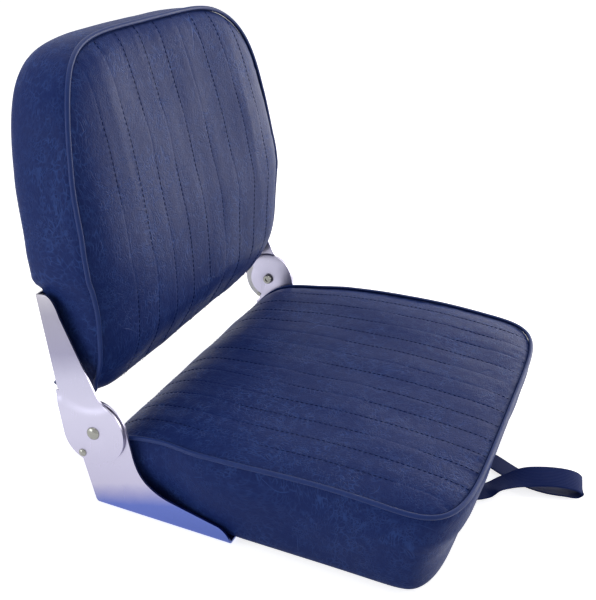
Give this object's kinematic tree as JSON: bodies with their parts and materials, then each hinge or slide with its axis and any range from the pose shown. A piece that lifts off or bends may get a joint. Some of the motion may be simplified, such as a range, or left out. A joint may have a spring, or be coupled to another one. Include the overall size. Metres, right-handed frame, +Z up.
{
  "type": "folding boat seat",
  "caption": "Low-back folding boat seat: ribbed vinyl cushions with piping, joined by riveted aluminium side hinges, with a webbing strap under the front.",
  "frame": {"origin": "middle plane of the seat, straight below the hinge axis, at the level of the underside of the two lower brackets' feet", "axes": "+Z up, -Y the way the sitter faces, +X to the sitter's left, along the hinge axis"},
  "size_m": [0.4328, 0.5492, 0.4223],
  "materials": {
    "vinyl": "satin grained",
    "rear_vinyl": "satin grained",
    "piping": "satin",
    "strap_webbing": "coated webbing",
    "aluminium": "bright mill",
    "rivet_steel": "bright",
    "plated_steel": "plated",
    "nylon": "matt",
    "plywood": "sealed",
    "foam": "open cell"
  },
  "bodies": {
    "seat": {"seat_board": "plywood", "mounting_nut_1": "plated_steel", "mounting_nut_2": "plated_steel", "mounting_nut_3": "plated_steel", "mounting_nut_4": "plated_steel", "seat_cover": "vinyl", "seat_piping": "piping", "seat_foam": "foam", "bracket_screw_right_1": "plated_steel", "bracket_screw_right_2": "plated_steel", "bracket_screw_right_3": "plated_steel", "bracket_screw_left_1": "plated_steel", "bracket_screw_left_2": "plated_steel", "bracket_screw_left_3": "plated_steel", "bracket_right": "aluminium", "pivot_rivet_right": "rivet_steel", "bracket_left": "aluminium", "pivot_rivet_left": "rivet_steel", "strap": "strap_webbing", "strap_washer_right": "plated_steel", "strap_washer_left": "plated_steel", "strap_screw_right": "plated_steel", "strap_screw_left": "plated_steel"},
    "back": {"back_board": "plywood", "back_foam": "foam", "back_cover": "vinyl", "back_piping": "piping", "back_rear_panel": "rear_vinyl", "arm_screw_right_1": "plated_steel", "arm_screw_right_2": "plated_steel", "arm_screw_right_3": "plated_steel", "arm_screw_left_1": "plated_steel", "arm_screw_left_2": "plated_steel", "arm_screw_left_3": "plated_steel", "arm_right": "aluminium", "hinge_washer_right": "nylon", "stop_rivet_right": "rivet_steel", "arm_left": "aluminium", "hinge_washer_left": "nylon", "stop_rivet_left": "rivet_steel"}
  },
  "joints": [
    {"name": "back_fold", "type": "hinge", "parent": "seat", "child": "back", "pos_m": [0, 0, 0.0785], "axis": [1, 0, 0], "range_deg": [0, 85], "deforming": ["back_cover", "back_foam", "back_piping"]}
  ]
}
